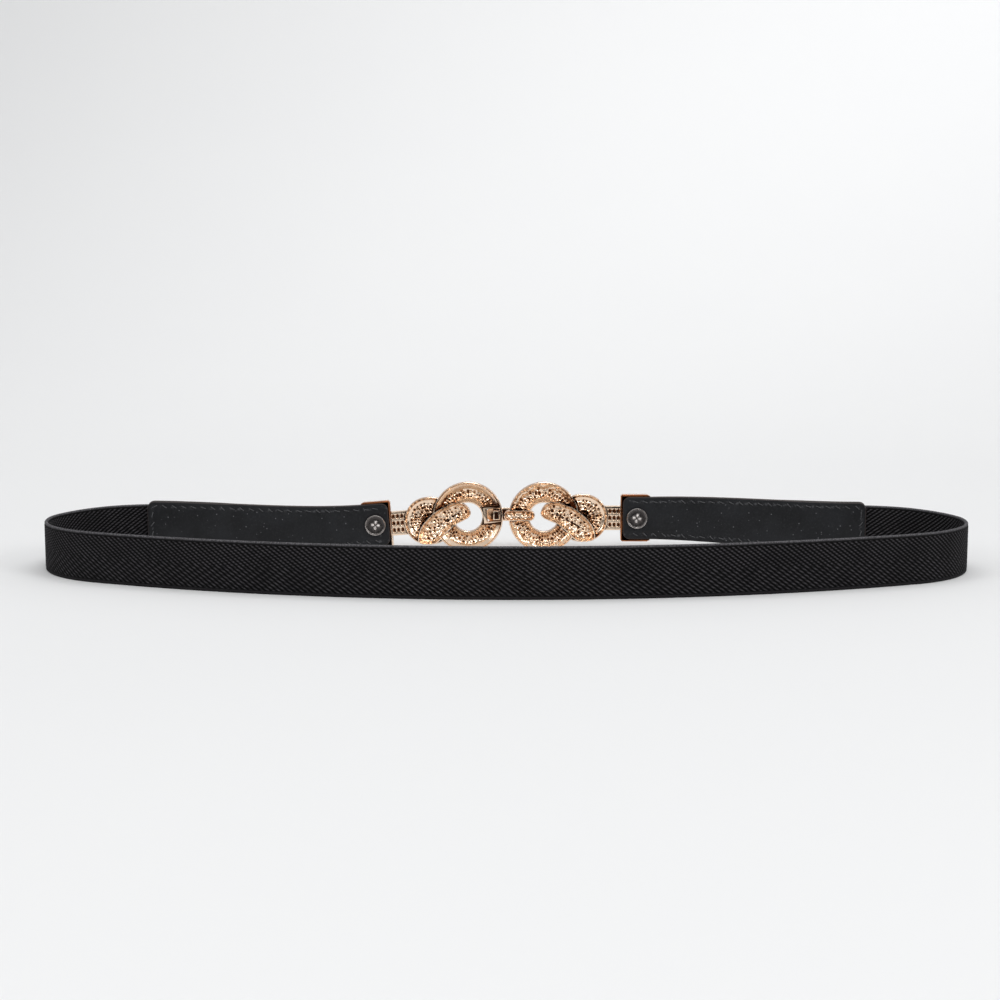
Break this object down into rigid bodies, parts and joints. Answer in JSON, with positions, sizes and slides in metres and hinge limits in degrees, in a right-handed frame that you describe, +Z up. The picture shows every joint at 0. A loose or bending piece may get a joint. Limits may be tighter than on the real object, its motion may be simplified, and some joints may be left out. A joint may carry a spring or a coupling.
{
  "type": "elastic waist belt with ring clasp",
  "caption": "Skinny stretch waist belt: elastic band, stitched leather tabs and a cast double-ring clasp, fastened and standing on its edge.",
  "frame": {"origin": "centre of the loop's outline, seen from above, at the height of its lower edge", "axes": "+Z up along the belt's width, +Y out of the clasp's face, +X to the wearer's right, along the loop's long way"},
  "size_m": [0.3808, 0.122, 0.0308],
  "materials": {
    "elastic": "matt black ribbed twill elastic",
    "leather": "black, smooth, semi-matt, with thread of the same colour",
    "rose_gold": "bright rose-gold plating over a hammered casting",
    "rivet_steel": "dark nickel"
  },
  "bodies": {
    "root": {"elastic_band": "elastic", "leather_tab_left_inner": "leather", "leather_tab_left_outer": "leather", "leather_tab_right_inner": "leather", "leather_tab_right_outer": "leather", "buckle_half_left": "rose_gold", "buckle_half_right": "rose_gold", "rivet_left": "rivet_steel", "rivet_right": "rivet_steel"}
  },
  "joints": []
}
